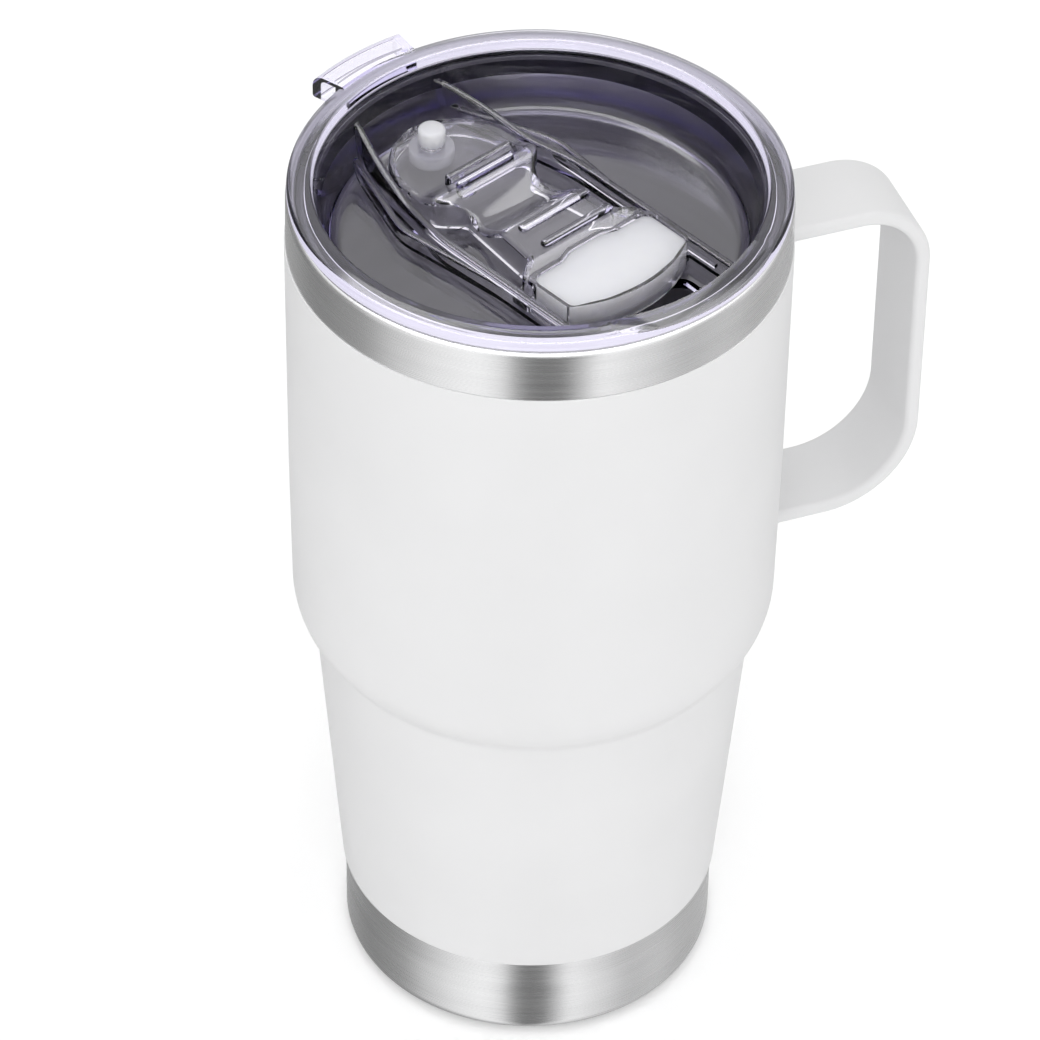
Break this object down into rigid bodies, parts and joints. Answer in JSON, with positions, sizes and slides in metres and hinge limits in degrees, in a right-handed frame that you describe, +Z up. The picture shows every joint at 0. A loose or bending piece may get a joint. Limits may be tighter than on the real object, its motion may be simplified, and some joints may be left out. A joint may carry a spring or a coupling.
{
  "type": "insulated tumbler with lid",
  "caption": "Tapered double-wall steel tumbler with a side strap handle and a clear press-in lid whose slider opens a mouth hole.",
  "frame": {"origin": "centre of the flat face the tumbler stands on", "axes": "+Z up the cup's axis towards the mouth, +X towards the handle; the lid's drinking end points 67.3 degrees clockwise of +X seen from above"},
  "size_m": [0.114, 0.0914, 0.1738],
  "materials": {
    "bare_steel": "brushed around the axis",
    "liner_steel": "satin",
    "solder": "dull",
    "getter_metal": "sintered",
    "copper": "thin copper film",
    "white_coat": "satin powder coat",
    "clear_lid": "clear with a faint violet tint",
    "clear_slider": "clear",
    "dark_silicone": "satin",
    "white_silicone": "translucent satin"
  },
  "bodies": {
    "cup": {"outer_shell": "bare_steel", "inner_liner": "liner_steel", "outer_base": "bare_steel", "base_cap": "bare_steel", "solder_seal": "solder", "getter": "getter_metal", "getter_clip": "liner_steel", "copper_layer": "copper", "body_coat": "white_coat", "handle_strap": "white_coat", "handle_welds": "liner_steel"},
    "lid": {"lid_shell": "clear_lid", "lid_gasket": "dark_silicone"},
    "slider": {"slider": "clear_slider", "mouth_seal": "white_silicone", "vent_plug": "white_silicone"}
  },
  "joints": [
    {"name": "lid_lift", "type": "slide", "parent": "cup", "child": "lid", "axis": [0, 0, 1], "range_m": [0, 0.06]},
    {"name": "slider_close", "type": "slide", "parent": "lid", "child": "slider", "axis": [0.3859, -0.9225, 0], "range_m": [0, 0.008]}
  ]
}
